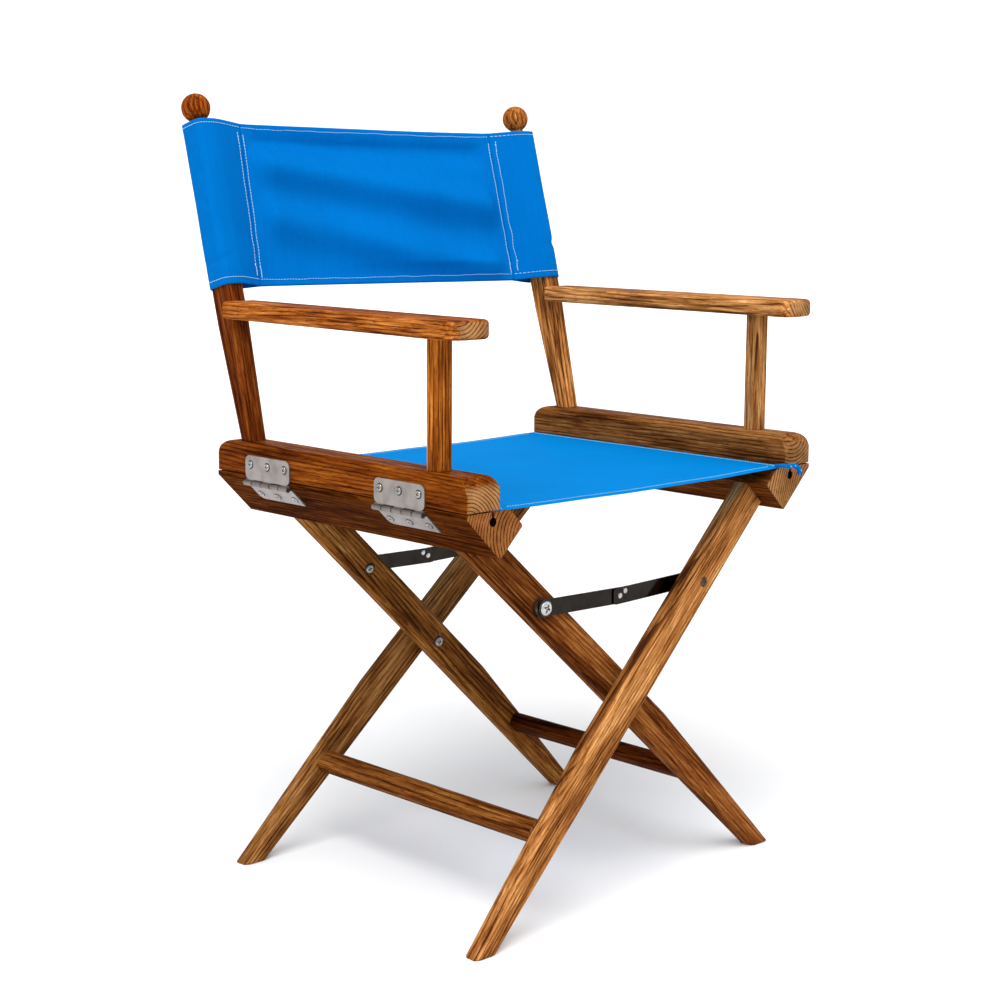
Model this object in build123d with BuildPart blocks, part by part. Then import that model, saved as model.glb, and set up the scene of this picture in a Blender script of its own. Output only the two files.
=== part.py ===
# Folding director's chair: teak frame, canvas seat and back, stainless fittings.
# Millimetres. +X is the sitter's left, -Y the front of the chair, +Z up.
# The inner frame has its seat rail on the -X side, the outer frame on the +X side.
from build123d import *
from math import atan2, cos, radians, sin, sqrt, tan
import os

os.makedirs("parts", exist_ok=True)

# overall sizes
half_width = 267.2          # outer face of the seat and arm rails
rail_length = 400.0
seat_height = 453.5         # flat top of the seat rails
seat_y = -34.5              # middle of the rails, front to back
pivot_height = 229.0
armrest_underside = 620.3
finial_height = 846.0       # centre of the ball
post_inset = 21.7           # middle of the posts, in from the outer face
post_x = half_width - post_inset

# seat rail section: a square bar set at 45 degrees, top planed flat
rail_lip = 4.5
rail_bevel = 44.5
rail_bar = 44.0
rail_shoulder = 14.0
groove_x = 34.6             # cord groove, in from the outer face
groove_depth = 10.1
groove_radius = 4.5
slot_width = 2.6
cord_radius = 3.9
cord_stub = 8.0

# legs
leg_width = 38.5
leg_raise = 2.0             # leg middle above the line through the pivots
leg_thick = 20.8
leg_round = 6.0
foot_width = 21.0
taper_start = 88.0
splay = 4.0                 # feet stand wider than the rails, front to back
outer_leg_y = 174.8
leg_pitch = 31.7
tenon_thick = 12.0
tenon_width = 26.0
tenon_depth = 20.0
fit = 0.1
foot_bevel = 1.5

# stretchers
stretcher_reach = 189.0     # below the pivot, along the leg
stretcher_wide = 25.0
stretcher_thick = 20.0
stretcher_round = 8.0
dowel_radius = 5.0
dowel_depth = 14.0

# pivots and folding stays
run_fit = 0.05
bolt_radius = 4.0
bolt_head = 5.4
bolt_head_thick = 2.6
pivot_blind = 14.0
spacer_radius = 9.0
spot_radius = 10.5
spot_depth = 1.2
stay_reach = 153.7
stay_width = 18.0
stay_thick = 1.5
stay_end = 10.0
stay_sag = 2.6
stay_layer = 0.2
stay_leg_gap = 1.2
stay_bolt_radius = 3.0
stay_head = 7.6
stay_head_thick = 3.2
stay_nut = 5.5
stay_nut_thick = 2.6
rivet_radius = 2.6
rivet_rise = 0.7
rivet_pitch = 8.0

# arm rail, posts, armrest
rail_gap = 1.3
arm_rail_width = 44.6
arm_rail_height = 33.7
arm_rail_corner = 20.0
arm_rail_round = 9.0
arm_rail_edge = 1.5
post_wide = 23.0
front_post_deep = 17.5
front_post_y = -136.7
post_round = 5.0
post_tenon = 6.0
post_tenon_depth = 16.0
back_post_y = 163.5
back_lean = 15.26
back_post_foot = 19.0
back_post_deep = 32.0
back_post_taper = 130.0
neck_radius = 7.0
neck_length = 9.0
finial_radius = 16.0
spigot_radius = 5.0
spigot_depth = 18.0
armrest_thick = 19.0
armrest_front = -195.0
armrest_rear = 188.0
armrest_inner = 18.5        # edges of the armrest, from the middle of the posts
armrest_outer_front = 37.5
armrest_outer_rear = 23.5
armrest_inner_rear = 20.5
armrest_round = 4.5

# hinges
leaf_length = 76.0
leaf_height = 30.0
leaf_thick = 1.8
leaf_corner = 7.0
leaf_clear = 0.02
hinge_z = 7.0               # barrel axis below the top of the seat rail
hinge_out = 2.8             # barrel axis outside the rail face
barrel_radius = 3.0
pin_radius = 1.5
knuckle_gap = 1.2
leaf_back = 3.8             # leaf starts this far from the barrel axis
hinge_front_y = -103.0
hinge_rear_y = 110.0
screw_pitch = 29.0
screw_up = 20.0
screw_head = 3.7
screw_head_thick = 1.6
screw_radius = 1.8
screw_length = 13.0

# canvas
cloth = 0.6
seat_sag = 4.6
seat_hem = 1.0              # cloth edge in from the rail ends
back_bottom = 166.0         # along the back post
back_top = 350.0
back_cloth = 1.0
seam_inset = 54.5           # sleeve seams, in from the middle of the posts
sleeve_seam = post_x - seam_inset
sleeve_slack = 0.5
panel_gap = 0.4

# derived
rail_face_x = half_width - rail_bevel - rail_bar / sqrt(8)
rail_face_z = seat_height - rail_lip - rail_bevel + rail_bar / sqrt(8)
leg_rise = (rail_face_z - pivot_height) / cos(radians(splay))
leg_angle = atan2(rail_face_x, leg_rise)
arm_base = seat_height + rail_gap
arm_top = arm_base + arm_rail_height
hinge_x = half_width + hinge_out
hinge_axis_z = seat_height - hinge_z
inner_leg_y = outer_leg_y - leg_pitch
stay_x = stay_reach * sin(leg_angle)
stay_rise = stay_reach * cos(leg_angle) * cos(radians(splay))
stay_z = pivot_height + stay_rise
stay_length = sqrt(stay_x**2 + stay_sag**2)
stay_face_outer = outer_leg_y - leg_thick / 2 - stay_rise * tan(radians(splay))
stay_face_inner = inner_leg_y + leg_thick / 2 - stay_rise * tan(radians(splay))
outer_stay_y = stay_face_outer - stay_leg_gap - stay_thick / 2
inner_stay_y = outer_stay_y - stay_thick - stay_layer
finial_reach = (finial_height - arm_top) / cos(radians(back_lean))
post_end = finial_reach - finial_radius - neck_length


def y_at(end, distance):
    return seat_y + end * distance


def save(name, shape):
    shape.label = name
    export_step(shape, "parts/" + name + ".step")


def along_y(x, y, z):
    return Location((x, y, z), (90, 0, 0))


# ---- one frame: seat rail, two legs, stretcher (side -1 has its rail at -X) ----
def leg_plane(end, leg_y):
    lean = radians(splay)
    origin = (0, y_at(end, leg_y), pivot_height)
    return Plane(origin=origin, x_dir=(1, 0, 0), z_dir=(0, -cos(lean), -end * sin(lean)))


def leg_point(side, reach, raised):
    x = side * (reach * sin(leg_angle) - raised * cos(leg_angle))
    return (x, reach * cos(leg_angle) + raised * sin(leg_angle))


def leg_outline(side):
    low = leg_raise - leg_width / 2
    high = leg_raise + leg_width / 2
    foot = -pivot_height / cos(leg_angle) - leg_width
    top = leg_rise / cos(leg_angle) + leg_width
    slope = (high - low - foot_width) / (pivot_height / cos(leg_angle) - taper_start)
    foot_high = high + slope * (foot + taper_start)
    outline = [(foot, low), (top, low), (top, high), (-taper_start, high), (foot, foot_high)]
    return [leg_point(side, reach, raised) for reach, raised in outline]


def tenon_plane(side, end, leg_y):
    plane = leg_plane(end, leg_y)
    x, rise = leg_point(side, leg_rise / cos(leg_angle), 0)
    axis = plane.x_dir * (side * sin(leg_angle)) + plane.y_dir * cos(leg_angle)
    return Plane(origin=plane.origin + plane.x_dir * x + plane.y_dir * rise,
                 x_dir=plane.z_dir, z_dir=axis)


def make_leg(side, end, leg_y):
    plane = leg_plane(end, leg_y)
    with BuildPart() as leg:
        with BuildSketch(plane):
            Polygon(*leg_outline(side), align=None)
        extrude(amount=leg_thick / 2, both=True)
        fillet(leg.edges().filter_by(Axis((0, 0, 0), plane.z_dir), reverse=True), leg_round)
        with Locations((0, seat_y, 0)):
            Box(4 * half_width, 2 * rail_length, 2 * leg_width,
                align=(Align.CENTER, Align.CENTER, Align.MAX), mode=Mode.SUBTRACT)
        seat_face = Plane(origin=(side * rail_face_x, seat_y, rail_face_z), z_dir=(side, 0, 1))
        with Locations(seat_face):
            Box(4 * leg_width, 2 * rail_length, 4 * leg_width,
                align=(Align.CENTER, Align.CENTER, Align.MIN), mode=Mode.SUBTRACT)
        with BuildSketch(tenon_plane(side, end, leg_y).offset(-tenon_thick)):
            Rectangle(tenon_thick, tenon_width)
        extrude(amount=tenon_depth + tenon_thick)
        chamfer(leg.faces().sort_by(Axis.Z)[0].edges(), foot_bevel)
        stretcher_x, stretcher_rise = leg_point(side, -stretcher_reach, leg_raise)
        stretcher_z = pivot_height + stretcher_rise * cos(radians(splay))
        face_y = leg_y - leg_thick / 2 - stretcher_rise * sin(radians(splay))
        with Locations(along_y(stretcher_x, y_at(end, face_y), stretcher_z)):
            Cylinder(dowel_radius + run_fit, 2 * dowel_depth, mode=Mode.SUBTRACT)
    return leg


def bore_inner_leg(leg, end, leg_y):
    with BuildPart() as bored:
        add(leg.part)
        with Locations(along_y(0, y_at(end, leg_y), pivot_height)):
            Cylinder(bolt_radius + run_fit, 2 * leg_thick, mode=Mode.SUBTRACT)
        with Locations(along_y(0, y_at(end, leg_y - leg_thick), pivot_height)):
            Cylinder(spot_radius, leg_thick + 2 * spot_depth, mode=Mode.SUBTRACT)
        lean = stay_rise * tan(radians(splay))
        with Locations(along_y(-stay_x, y_at(end, leg_y - lean), stay_z)):
            Cylinder(stay_bolt_radius + run_fit, 2 * leg_thick, mode=Mode.SUBTRACT)
        with Locations(along_y(-stay_x, y_at(end, leg_y - lean + leg_thick), stay_z)):
            Cylinder(spot_radius, leg_thick + 2 * spot_depth, mode=Mode.SUBTRACT)
        with Locations(along_y(-stay_x, y_at(end, leg_y - lean - leg_thick), stay_z)):
            Cylinder(stay_head, leg_thick + 2 * spot_depth, mode=Mode.SUBTRACT)
    return bored


def bore_outer_leg(leg, end, leg_y):
    blind_y = leg_y - leg_thick / 2 + pivot_blind / 2 - spot_depth
    with BuildPart() as bored:
        add(leg.part)
        with Locations(along_y(0, y_at(end, blind_y), pivot_height)):
            Cylinder(bolt_radius + run_fit, pivot_blind + 2 * spot_depth, mode=Mode.SUBTRACT)
        lean = stay_rise * tan(radians(splay))
        with Locations(along_y(stay_x, y_at(end, leg_y - lean), stay_z)):
            Cylinder(stay_bolt_radius + run_fit, 2 * leg_thick, mode=Mode.SUBTRACT)
        with Locations(along_y(stay_x, y_at(end, leg_y - lean + leg_thick), stay_z)):
            Cylinder(stay_nut + run_fit, leg_thick + 2 * spot_depth, mode=Mode.SUBTRACT)
    return bored


def make_seat_rail(side, leg_y):
    outer = half_width
    inner_x = outer - rail_bevel - rail_bar / sqrt(2)
    inner_z = seat_height - rail_lip - rail_bevel + rail_bar / sqrt(2)
    shoulder_x = inner_x + seat_height - inner_z
    section = [
        (side * outer, seat_height), (side * outer, seat_height - rail_lip),
        (side * (outer - rail_bevel), seat_height - rail_lip - rail_bevel),
        (side * inner_x, inner_z), (side * shoulder_x, seat_height)]
    with BuildPart() as rail:
        with BuildSketch(Plane.XZ.offset(-seat_y)):
            Polygon(*section, align=None)
            shoulder = vertices().sort_by_distance((side * shoulder_x, seat_height, 0))[0]
            fillet(shoulder, rail_shoulder)
            fillet(vertices().sort_by_distance((side * inner_x, inner_z, 0))[0], 2 * foot_bevel)
            fillet(vertices().sort_by(Axis.Y)[0], foot_bevel)
            with Locations((side * (outer - groove_x), seat_height - groove_depth)):
                Circle(groove_radius, mode=Mode.SUBTRACT)
            with Locations((side * (outer - groove_x), seat_height)):
                Rectangle(slot_width, 2 * groove_depth, mode=Mode.SUBTRACT)
        extrude(amount=rail_length / 2, both=True)
        for end in (-1, 1):
            with BuildSketch(tenon_plane(side, end, leg_y).offset(-tenon_thick)):
                Rectangle(tenon_thick + 2 * fit, tenon_width + 2 * fit)
            extrude(amount=tenon_depth + tenon_thick + 2 * fit, mode=Mode.SUBTRACT)
    return rail


def lower_leaf_plane(side, hinge_y):
    origin = (side * half_width, seat_y + hinge_y, seat_height - rail_lip)
    return Plane(origin=origin, x_dir=(0, 1, 0), z_dir=(side, 0, -1))


def rail_screw_spots(side, hinge_y):
    plane = lower_leaf_plane(side, hinge_y)
    return [plane * Location((shift, -side * screw_up, 0))
            for shift in (-screw_pitch, 0, screw_pitch)]


def make_screws(spots):
    with BuildPart() as screws:
        with Locations(*spots):
            Cylinder(screw_radius, screw_length, align=(Align.CENTER, Align.CENTER, Align.MAX))
            with Locations((0, 0, leaf_thick + 2 * leaf_clear)):
                Cylinder(screw_head, screw_head_thick,
                         align=(Align.CENTER, Align.CENTER, Align.MIN))
            Cylinder(screw_radius, 2 * leaf_thick,
                     align=(Align.CENTER, Align.CENTER, Align.MIN))
    return screws


def bore_for_screws(shape, spots):
    with BuildPart() as bored:
        add(shape.part)
        with Locations(*spots):
            Cylinder(screw_radius + run_fit, 2 * screw_length, mode=Mode.SUBTRACT)
    return bored


def make_stretcher(side, leg_y):
    x, rise = leg_point(side, -stretcher_reach, leg_raise)
    face_y = leg_y - leg_thick / 2 - rise * sin(radians(splay))
    z = pivot_height + rise * cos(radians(splay))
    plane = Plane(origin=(x, seat_y, z), z_dir=(0, -1, 0),
                  x_dir=(side * sin(leg_angle), 0, cos(leg_angle)))
    with BuildPart() as bar:
        with BuildSketch(plane):
            RectangleRounded(stretcher_wide, stretcher_thick, stretcher_round)
        extrude(amount=face_y + leg_thick / 2, both=True)
        for end in (-1, 1):
            with Locations(leg_plane(end, leg_y)):
                Box(4 * half_width, 4 * half_width, leg_thick + 2 * run_fit,
                    mode=Mode.SUBTRACT)
        with Locations(plane):
            Cylinder(dowel_radius, 2 * (face_y + dowel_depth - foot_bevel))
    return bar


def make_cord(side, front, rear):
    x = side * (half_width - groove_x)
    with BuildPart() as cord:
        with Locations(along_y(x, seat_y + (front + rear) / 2, seat_height - groove_depth)):
            Cylinder(cord_radius, rear - front)
    return cord


# ---- stainless pivots and folding stays ----
def make_pivot_bolt(end):
    head_y = inner_leg_y - leg_thick / 2 + spot_depth
    tip_y = outer_leg_y - leg_thick / 2 + pivot_blind - spot_depth - run_fit
    with BuildPart() as bolt:
        with Locations(along_y(0, y_at(end, (head_y + tip_y) / 2), pivot_height)):
            Cylinder(bolt_radius, tip_y - head_y)
        with Locations(along_y(0, y_at(end, head_y - bolt_head_thick / 2), pivot_height)):
            Cylinder(bolt_head, bolt_head_thick)
    return bolt


def make_pivot_spacer(end):
    length = leg_pitch - leg_thick - 2 * spot_depth
    with BuildPart() as spacer:
        with Locations(along_y(0, y_at(end, outer_leg_y - leg_pitch / 2), pivot_height)):
            Cylinder(spacer_radius, length)
            Cylinder(bolt_radius + run_fit, length, mode=Mode.SUBTRACT)
    return spacer


def make_stay(side, end, layer_y):
    slope = atan2(stay_sag, stay_x)
    plane = Plane(origin=(side * stay_x, y_at(end, layer_y), stay_z), z_dir=(0, -1, 0),
                  x_dir=(-side * cos(slope), 0, -sin(slope)))
    with BuildPart() as stay:
        with BuildSketch(plane):
            with Locations(((stay_length) / 2, 0)):
                RectangleRounded(stay_length + 2 * stay_end, stay_width, rivet_pitch / 2)
            Circle(stay_bolt_radius + run_fit, mode=Mode.SUBTRACT)
        extrude(amount=stay_thick / 2, both=True)
    return stay


def make_rivets(side, end, layer_y, outward):
    slope = atan2(stay_sag, stay_x)
    plane = Plane(origin=(side * stay_x, y_at(end, layer_y), stay_z), z_dir=(0, -1, 0),
                  x_dir=(-side * cos(slope), 0, -sin(slope)))
    with BuildPart() as rivets:
        shift = -end * outward * (stay_thick + rivet_rise) / 2
        with Locations(plane.offset(shift)):
            with Locations((stay_length, 0), (stay_length - rivet_pitch, rivet_pitch / 2)):
                Cylinder(rivet_radius, rivet_rise)
    return rivets


def make_stay_bolt(side, end, layer_y, head_at_stay, leg_y):
    leg_mid = leg_y - stay_rise * tan(radians(splay))
    inner = min(layer_y, leg_mid)
    outer = max(layer_y, leg_mid)
    towards = 1 if layer_y > leg_mid else -1
    stay_face = layer_y + towards * stay_thick / 2
    far_face = leg_mid - towards * (leg_thick / 2 - spot_depth)
    radii = (stay_head, stay_nut) if head_at_stay else (stay_nut, stay_nut)
    heights = (stay_head_thick, stay_nut_thick) if head_at_stay else (stay_nut_thick,) * 2
    with BuildPart() as bolt:
        with Locations(along_y(side * stay_x, y_at(end, (stay_face + far_face) / 2), stay_z)):
            Cylinder(stay_bolt_radius, abs(stay_face - far_face))
        near_y = stay_face + towards * heights[0] / 2
        with Locations(along_y(side * stay_x, y_at(end, near_y), stay_z)):
            Cylinder(radii[0], heights[0])
        far_y = far_face - towards * heights[1] / 2
        with Locations(along_y(side * stay_x, y_at(end, far_y), stay_z)):
            Cylinder(radii[1], heights[1])
    return bolt


def make_stay_spacer(end):
    start = stay_face_inner - spot_depth
    stop = inner_stay_y - stay_thick / 2 - run_fit
    with BuildPart() as spacer:
        with Locations(along_y(-stay_x, y_at(end, (start + stop) / 2), stay_z)):
            Cylinder(spacer_radius, stop - start)
            Cylinder(stay_bolt_radius + run_fit, stop - start, mode=Mode.SUBTRACT)
    return spacer


# ---- arm assembly ----
def back_plane(side):
    lean = radians(back_lean)
    return Plane(origin=(side * post_x, seat_y + back_post_y, arm_top),
                 x_dir=(1, 0, 0), z_dir=(0, sin(lean), cos(lean)))


def make_arm_rail(side):
    with BuildPart() as rail:
        with BuildSketch(Plane.XZ.offset(-seat_y)):
            with Locations((side * (half_width - arm_rail_width / 2), arm_base)):
                Rectangle(arm_rail_width, arm_rail_height, align=(Align.CENTER, Align.MIN))
            fillet(vertices().group_by(Axis.Y)[-1], arm_rail_round)
        extrude(amount=rail_length / 2, both=True)
        with BuildSketch(Plane.YZ):
            with Locations((seat_y, arm_base)):
                Rectangle(rail_length, arm_rail_height, align=(Align.CENTER, Align.MIN))
            fillet(vertices().group_by(Axis.Y)[-1], arm_rail_corner)
        extrude(amount=2 * half_width, both=True, mode=Mode.INTERSECT)
        with BuildSketch(Plane.XY.offset(arm_base)):
            with Locations((side * (half_width - arm_rail_width / 2), seat_y)):
                RectangleRounded(arm_rail_width, rail_length, arm_rail_edge)
        extrude(amount=arm_rail_height, mode=Mode.INTERSECT)
        with Locations((side * post_x, seat_y + front_post_y, arm_top)):
            Cylinder(post_tenon + fit, 2 * (post_tenon_depth + fit), mode=Mode.SUBTRACT)
        with Locations(back_plane(side)):
            Cylinder(post_tenon + fit, 2 * (post_tenon_depth + fit), mode=Mode.SUBTRACT)
    return rail


def make_front_post(side):
    length = armrest_underside - arm_top
    with BuildPart() as post:
        with BuildSketch(Plane.XY.offset(arm_top)):
            with Locations((side * post_x, seat_y + front_post_y)):
                RectangleRounded(post_wide, front_post_deep, post_round)
        extrude(amount=length)
        with Locations((side * post_x, seat_y + front_post_y, arm_top + length / 2)):
            Cylinder(post_tenon, length + 2 * post_tenon_depth)
    return post


def make_back_post(side):
    plane = back_plane(side)
    with BuildPart() as post:
        with BuildSketch(plane.offset(-arm_rail_height / 2)):
            RectangleRounded(post_wide, back_post_foot, post_round)
        with BuildSketch(plane):
            RectangleRounded(post_wide, back_post_foot, post_round)
        with BuildSketch(plane.offset(back_post_taper)):
            RectangleRounded(post_wide, back_post_deep, post_round)
        with BuildSketch(plane.offset(post_end)):
            RectangleRounded(post_wide, back_post_deep, post_round)
        loft(ruled=True)
        with Locations((0, seat_y, arm_top)):
            Box(4 * half_width, 2 * rail_length, 2 * arm_rail_height,
                align=(Align.CENTER, Align.CENTER, Align.MAX), mode=Mode.SUBTRACT)
        with Locations(plane.offset(-post_tenon_depth)):
            Cylinder(post_tenon, 2 * post_tenon_depth,
                     align=(Align.CENTER, Align.CENTER, Align.MIN))
        with Locations(plane.offset(post_end)):
            Cylinder(spigot_radius + run_fit, 2 * (spigot_depth + fit), mode=Mode.SUBTRACT)
    return post


def make_finial(side):
    with BuildPart() as finial:
        with Locations(back_plane(side).offset(finial_reach)):
            Sphere(finial_radius)
        with Locations(back_plane(side).offset(post_end)):
            Cylinder(neck_radius, neck_length + finial_radius,
                     align=(Align.CENTER, Align.CENTER, Align.MIN))
            Cylinder(spigot_radius, spigot_depth,
                     align=(Align.CENTER, Align.CENTER, Align.MAX))
    return finial


def make_armrest(side, post):
    plan = [
        (side * (post_x - armrest_inner_rear), seat_y + armrest_rear),
        (side * (post_x + armrest_outer_rear), seat_y + armrest_rear),
        (side * (post_x + armrest_outer_front), seat_y + armrest_front),
        (side * (post_x - armrest_inner), seat_y + armrest_front)]
    with BuildPart() as armrest:
        with BuildSketch(Plane.XY.offset(armrest_underside)):
            Polygon(*plan, align=None)
            fillet(vertices().sort_by_distance(plan[2])[0], 5 * armrest_round)
            fillet(vertices().sort_by_distance(plan[3])[0], 3 * armrest_round)
            fillet(vertices().group_by(Axis.Y)[-1], armrest_round)
        extrude(amount=armrest_thick)
        ends = armrest.faces().sort_by(Axis.Z)
        fillet(ends[0].edges() + ends[-1].edges(), armrest_round)
        with Locations((side * post_x, seat_y + front_post_y, armrest_underside)):
            Cylinder(post_tenon + fit, 2 * (post_tenon_depth + fit), mode=Mode.SUBTRACT)
        add(post.part, mode=Mode.SUBTRACT)
    return armrest


# ---- hinges: upper leaf on the arm rail, lower leaf on the bevel of the seat rail ----
def leaf_plane(side, hinge_y, lower):
    axis_origin = (side * hinge_x, seat_y + hinge_y, hinge_axis_z)
    if lower:
        return Plane(origin=axis_origin, x_dir=(0, 1, 0), z_dir=(side, 0, -1))
    return Plane(origin=axis_origin, x_dir=(0, 1, 0), z_dir=(side, 0, 0))


def make_leaf(side, hinge_y, lower):
    # local: x along the barrel, y up the leaf (sign of side), z out of the wood
    plane = leaf_plane(side, hinge_y, lower)
    way = side
    if lower:
        under = -(hinge_out + hinge_z - rail_lip) / sqrt(2)
        way = -side
    else:
        under = -hinge_out
    knuckle = leaf_length / 5
    mine = (-1, 1) if lower else (-2, 0, 2)
    with BuildPart() as leaf:
        with BuildSketch(plane.offset(under + leaf_clear)):
            with Locations((0, way * (leaf_back + leaf_height) / 2)):
                Rectangle(leaf_length, leaf_height - leaf_back)
            far = vertices().group_by(Axis((0, 0, 0), plane.y_dir * way))[-1]
            fillet(far, leaf_corner)
            with Locations(*[(slot * knuckle, way * leaf_back / 2) for slot in mine]):
                Rectangle(knuckle - knuckle_gap, leaf_back)
        extrude(amount=leaf_thick)
        for slot in mine:
            with Locations(plane * Location((slot * knuckle, 0, 0), (0, 90, 0))):
                Cylinder(barrel_radius, knuckle - knuckle_gap)
        with Locations(plane * Location((0, 0, 0), (0, 90, 0))):
            Cylinder(pin_radius + run_fit, 2 * leaf_length, mode=Mode.SUBTRACT)
        holes = rail_screw_spots(side, hinge_y) if lower else arm_screw_spots(side, hinge_y)
        with Locations(*holes):
            Cylinder(screw_radius + run_fit, 4 * leaf_thick, mode=Mode.SUBTRACT)
    return leaf


def arm_screw_spots(side, hinge_y):
    plane = Plane(origin=(side * half_width, seat_y + hinge_y, hinge_axis_z),
                  x_dir=(0, 1, 0), z_dir=(side, 0, 0))
    return [plane * Location((shift, side * screw_up, 0))
            for shift in (-screw_pitch, 0, screw_pitch)]


def make_pins(side):
    with BuildPart() as pins:
        for hinge_y in (hinge_front_y, hinge_rear_y):
            with Locations(along_y(side * hinge_x, seat_y + hinge_y, hinge_axis_z)):
                Cylinder(pin_radius, leaf_length)
    return pins


# ---- canvas ----
def make_seat_sling():
    groove = half_width - groove_x
    shoulder = half_width - rail_bevel - rail_bar / sqrt(2) + rail_shoulder
    top = seat_height + rail_gap / 2 + cloth / 2
    low = top - cloth
    bottom = seat_height - groove_depth + cord_radius + cloth
    with BuildPart() as sling:
        with BuildSketch(Plane.XZ.offset(-seat_y)):
            with BuildLine():
                ThreePointArc((-shoulder, top), (0, top - seat_sag), (shoulder, top))
                Polyline((shoulder, top), (groove + cloth, top), (groove + cloth, bottom),
                         (groove, bottom), (groove, low), (shoulder, low))
                ThreePointArc((shoulder, low), (0, low - seat_sag), (-shoulder, low))
                Polyline((-shoulder, low), (-groove, low), (-groove, bottom),
                         (-groove - cloth, bottom), (-groove - cloth, top), (-shoulder, top))
            make_face()
        extrude(amount=rail_length / 2 - seat_hem, both=True)
    return sling


def make_sleeve(side):
    plane = back_plane(side).offset(back_bottom)
    seam = -side * (post_x - sleeve_seam)
    with BuildPart() as sleeve:
        with BuildSketch(plane):
            RectangleRounded(post_wide + 2 * (sleeve_slack + back_cloth),
                             back_post_deep + 2 * (sleeve_slack + back_cloth), post_round)
            with Locations((seam, 0)):
                Circle(back_cloth)
            make_hull()
        extrude(amount=back_top - back_bottom)
        with BuildSketch(plane.offset(-back_cloth)):
            RectangleRounded(post_wide + 2 * sleeve_slack,
                             back_post_deep + 2 * sleeve_slack, post_round)
            with Locations((seam + side * 2 * back_cloth, 0)):
                Circle(back_cloth / 4)
            make_hull()
        extrude(amount=back_top - back_bottom + 2 * back_cloth, mode=Mode.SUBTRACT)
    return sleeve


def make_back_panel():
    reach = sleeve_seam - back_cloth - panel_gap
    lean = radians(back_lean)
    origin = (0, seat_y + back_post_y, arm_top)
    plane = Plane(origin=origin, x_dir=(1, 0, 0), z_dir=(0, sin(lean), cos(lean)))
    with BuildPart() as panel:
        with BuildSketch(plane.offset(back_bottom)):
            Rectangle(2 * reach, back_cloth)
        extrude(amount=back_top - back_bottom)
    return panel


# ---- export ----
frames = (("left", "inner", -1, inner_leg_y), ("right", "outer", 1, outer_leg_y))
for hand, name, side, leg_y in frames:
    spots = rail_screw_spots(side, hinge_front_y) + rail_screw_spots(side, hinge_rear_y)
    seat_rail = bore_for_screws(make_seat_rail(side, leg_y), spots)
    save(hand + "_seat_rail", seat_rail.part)
    for place, end in (("front", -1), ("rear", 1)):
        leg = make_leg(side, end, leg_y)
        bore = bore_inner_leg if side < 0 else bore_outer_leg
        save(name + "_" + place + "_leg", bore(leg, end, leg_y).part)
    save(name + "_stretcher", make_stretcher(side, leg_y).part)
    save(hand + "_seat_rail_screws", make_screws(spots).part)
    save(hand + "_hinge_pins", make_pins(side).part)

half_rail = rail_length / 2
save("left_hem_cord", make_cord(-1, 3 * cord_radius - half_rail, half_rail).part)
save("right_hem_cord", make_cord(1, -half_rail - cord_stub, half_rail - cord_radius).part)

for place, end in (("front", -1), ("rear", 1)):
    save(place + "_pivot_bolt", make_pivot_bolt(end).part)
    save(place + "_pivot_spacer", make_pivot_spacer(end).part)
    save(place + "_left_stay", make_stay(-1, end, inner_stay_y).part)
    save(place + "_right_stay", make_stay(1, end, outer_stay_y).part)
    save(place + "_left_stay_rivets", make_rivets(-1, end, inner_stay_y, -1).part)
    save(place + "_right_stay_rivets", make_rivets(1, end, outer_stay_y, 1).part)
    save(place + "_left_stay_bolt",
         make_stay_bolt(-1, end, inner_stay_y, end < 0, inner_leg_y).part)
    save(place + "_right_stay_bolt",
         make_stay_bolt(1, end, outer_stay_y, False, outer_leg_y).part)
    save(place + "_stay_spacer", make_stay_spacer(end).part)

for hand, side in (("left", -1), ("right", 1)):
    spots = arm_screw_spots(side, hinge_front_y) + arm_screw_spots(side, hinge_rear_y)
    back_post = make_back_post(side)
    save(hand + "_arm_rail", bore_for_screws(make_arm_rail(side), spots).part)
    save(hand + "_front_post", make_front_post(side).part)
    save(hand + "_back_post", back_post.part)
    save(hand + "_finial", make_finial(side).part)
    save(hand + "_armrest", make_armrest(side, back_post).part)
    save(hand + "_arm_rail_screws", make_screws(spots).part)
    for place, hinge_y in (("front", hinge_front_y), ("rear", hinge_rear_y)):
        save(hand + "_" + place + "_upper_leaf", make_leaf(side, hinge_y, False).part)
        save(hand + "_" + place + "_lower_leaf", make_leaf(side, hinge_y, True).part)
    save(hand + "_back_sleeve", make_sleeve(side).part)

save("seat_sling", make_seat_sling().part)
save("back_panel", make_back_panel().part)
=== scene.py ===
# Folding director's chair: teak frame, stainless fittings, blue canvas seat and back.
# Metres. +X is the sitter's left, -Y the front of the chair, +Z up. Left and right in the
# names of pieces are as one faces the chair.
import math

import bmesh
import bpy
from mathutils import Matrix, Vector, noise


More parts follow.
